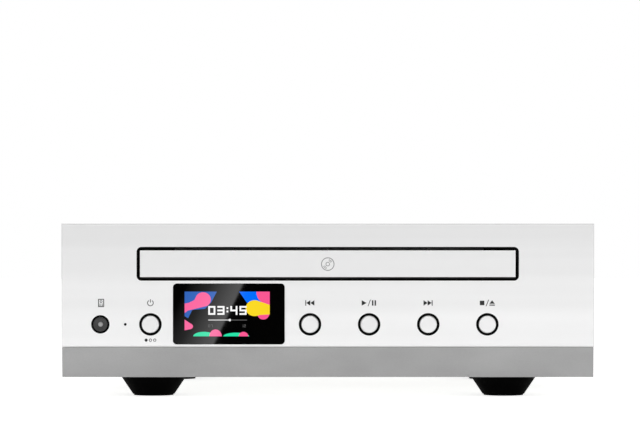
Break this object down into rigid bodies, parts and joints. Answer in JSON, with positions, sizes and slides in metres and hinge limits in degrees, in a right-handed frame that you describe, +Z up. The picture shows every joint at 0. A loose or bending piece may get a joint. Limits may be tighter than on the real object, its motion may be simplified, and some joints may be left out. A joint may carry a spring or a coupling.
{
  "type": "compact disc player",
  "caption": "Slim front-loading compact disc player with an aluminium front, motorised tray, small display, round keys and conical feet.",
  "frame": {"origin": "on the floor, under the middle of the case", "axes": "+Z up, +X to the right seen from the front, front faces -Y"},
  "size_m": [0.248, 0.232, 0.0813],
  "materials": {
    "panel_aluminium": "satin",
    "strip_aluminium": "fine grained",
    "cover_aluminium": "satin",
    "chassis_steel": "powder coated",
    "plated_steel": "zinc plated",
    "foot_plastic": "matt",
    "foot_rubber": "matt",
    "screw_steel": "plated",
    "black_trim": "satin black",
    "window_glass": "polished, dark",
    "screen": "lit display",
    "black_plastic": "moulded",
    "button_metal": "turned",
    "sensor_lens": "translucent dark",
    "light_pipe": "clear dark",
    "circuit_board": "solder mask",
    "loader_plastic": "moulded",
    "gear_plastic": "acetal",
    "motor_steel": "drawn",
    "pulley_brass": "turned",
    "belt_rubber": "moulded",
    "polished_steel": "ground",
    "pickup_alloy": "die cast",
    "lens_glass": "polished",
    "transformer_iron": "varnished",
    "capacitor_sleeve": "sleeved",
    "rocker_plastic": "gloss",
    "socket_metal": "nickel plated",
    "ribbon_plastic": "flat cable"
  },
  "bodies": {
    "chassis": {"fascia_panel": "panel_aluminium", "lower_fascia_strip": "strip_aluminium", "top_cover": "cover_aluminium", "rear_panel": "chassis_steel", "front_bracket": "plated_steel", "base_plate": "plated_steel", "clamp_bridge": "plated_steel", "foot_front_left": "foot_plastic", "foot_front_right": "foot_plastic", "foot_rear_left": "foot_plastic", "foot_rear_right": "foot_plastic", "foot_pads": "foot_rubber", "foot_screws": "screw_steel", "cover_screws": "screw_steel", "tray_slot_bezel": "black_trim", "button_rings": "black_trim", "remote_sensor_bezel": "black_trim", "display_glass": "window_glass", "display_panel": "screen", "display_carrier": "black_plastic", "tact_switches": "black_plastic", "mains_inlet": "black_plastic", "optical_socket": "black_plastic", "remote_sensor_lens": "sensor_lens", "standby_light_pipe": "light_pipe", "front_board": "circuit_board", "main_board": "circuit_board", "power_board": "circuit_board", "loader_frame": "loader_plastic", "loading_motor": "motor_steel", "drive_belt": "belt_rubber", "transformer": "transformer_iron", "capacitors": "capacitor_sleeve", "phono_sockets": "socket_metal", "ribbon_cable": "ribbon_plastic"},
    "tray": {"disc_tray": "loader_plastic", "tray_door": "panel_aluminium"},
    "power_key": {"power_button": "button_metal"},
    "previous_key": {"previous_button": "button_metal"},
    "play_pause_key": {"play_pause_button": "button_metal"},
    "next_key": {"next_button": "button_metal"},
    "stop_eject_key": {"stop_eject_button": "button_metal"},
    "drive_gear": {"tray_drive_gear": "gear_plastic"},
    "pulley": {"pulley_gear": "gear_plastic"},
    "motor_wheel": {"motor_pulley": "pulley_brass"},
    "slider": {"cam_slider": "loader_plastic"},
    "transport": {"lift_frame": "loader_plastic", "isolation_dampers": "foot_rubber", "damper_screws": "screw_steel", "traverse_plate": "plated_steel", "spindle_motor": "motor_steel", "guide_rods": "polished_steel", "sled_motor": "motor_steel"},
    "disc_table": {"turntable": "black_plastic"},
    "sled": {"pickup_sled": "pickup_alloy"},
    "lens": {"objective_lens": "lens_glass"},
    "worm": {"lead_screw": "polished_steel"},
    "puck": {"clamp_puck": "black_plastic"},
    "rocker": {"power_rocker": "rocker_plastic"},
    "shutter": {"optical_shutter": "black_plastic"}
  },
  "joints": [
    {"name": "tray_slide", "type": "slide", "parent": "chassis", "child": "tray", "axis": [0, -1, 0], "range_m": [0, 0.134]},
    {"name": "power_press", "type": "slide", "parent": "chassis", "child": "power_key", "axis": [0, 1, 0], "range_m": [0, 0.0008], "stiffness_N_per_m": 1000, "springref_m": -0.0003},
    {"name": "previous_press", "type": "slide", "parent": "chassis", "child": "previous_key", "axis": [0, 1, 0], "range_m": [0, 0.0008], "stiffness_N_per_m": 1000, "springref_m": -0.0003},
    {"name": "play_pause_press", "type": "slide", "parent": "chassis", "child": "play_pause_key", "axis": [0, 1, 0], "range_m": [0, 0.0008], "stiffness_N_per_m": 1000, "springref_m": -0.0003},
    {"name": "next_press", "type": "slide", "parent": "chassis", "child": "next_key", "axis": [0, 1, 0], "range_m": [0, 0.0008], "stiffness_N_per_m": 1000, "springref_m": -0.0003},
    {"name": "stop_eject_press", "type": "slide", "parent": "chassis", "child": "stop_eject_key", "axis": [0, 1, 0], "range_m": [0, 0.0008], "stiffness_N_per_m": 1000, "springref_m": -0.0003},
    {"name": "tray_gear_spin", "type": "hinge", "parent": "chassis", "child": "drive_gear", "pos_m": [-0.043, -0.0835, 0.0513], "axis": [0, 0, 1], "range_deg": [0, 520]},
    {"name": "pulley_spin", "type": "hinge", "parent": "chassis", "child": "pulley", "pos_m": [-0.021, -0.0835, 0.0463], "axis": [0, 0, 1], "range_deg": [-1100, 0]},
    {"name": "motor_spin", "type": "hinge", "parent": "chassis", "child": "motor_wheel", "pos_m": [0.023, -0.0835, 0.0433], "axis": [0, 0, 1], "range_deg": [-4080, 0]},
    {"name": "transport_lift", "type": "hinge", "parent": "chassis", "child": "transport", "pos_m": [0, 0.052, 0.0493], "axis": [-1, 0, 0], "range_deg": [0, 6]},
    {"name": "cam_slide", "type": "slide", "parent": "chassis", "child": "slider", "axis": [1, 0, 0], "range_m": [0, 0.024]},
    {"name": "disc_spin", "type": "hinge", "parent": "transport", "child": "disc_table", "pos_m": [0, -0.04583, 0.05209], "axis": [0, -0.1045, 0.9945], "continuous": true},
    {"name": "puck_spin", "type": "hinge", "parent": "chassis", "child": "puck", "pos_m": [0, -0.045, 0.0663], "axis": [0, 0, 1], "continuous": true},
    {"name": "pickup_travel", "type": "slide", "parent": "transport", "child": "sled", "axis": [0, 0.9945, 0.1045], "range_m": [0, 0.035]},
    {"name": "worm_spin", "type": "hinge", "parent": "transport", "child": "worm", "pos_m": [0.024, -0.00354, 0.04195], "axis": [0, 0.9945, 0.1045], "range_deg": [0, 4210]},
    {"name": "lens_focus", "type": "slide", "parent": "sled", "child": "lens", "axis": [0, -0.1045, 0.9945], "range_m": [-0.00035, 0.00035], "stiffness_N_per_m": 60},
    {"name": "rocker_tilt", "type": "hinge", "parent": "chassis", "child": "rocker", "pos_m": [-0.078, 0.106, 0.0343], "axis": [-1, 0, 0], "range_deg": [0, 16]},
    {"name": "shutter_swing", "type": "hinge", "parent": "chassis", "child": "shutter", "pos_m": [0.05, 0.108, 0.0379], "axis": [-1, 0, 0], "range_deg": [0, 80], "stiffness_Nm_per_rad": 0.0002, "springref_deg": -17.19}
  ],
  "couplings": [
    {"joint": "tray_gear_spin", "follows": "tray_slide", "rad_per_m": 66.667},
    {"joint": "pulley_spin", "follows": "tray_slide", "rad_per_m": -142.86},
    {"joint": "motor_spin", "follows": "tray_slide", "rad_per_m": -530.61},
    {"joint": "cam_slide", "follows": "transport_lift", "m_per_rad": 0.22918},
    {"joint": "puck_spin", "follows": "disc_spin", "ratio": 1},
    {"joint": "worm_spin", "follows": "pickup_travel", "rad_per_m": 2094.4}
  ]
}
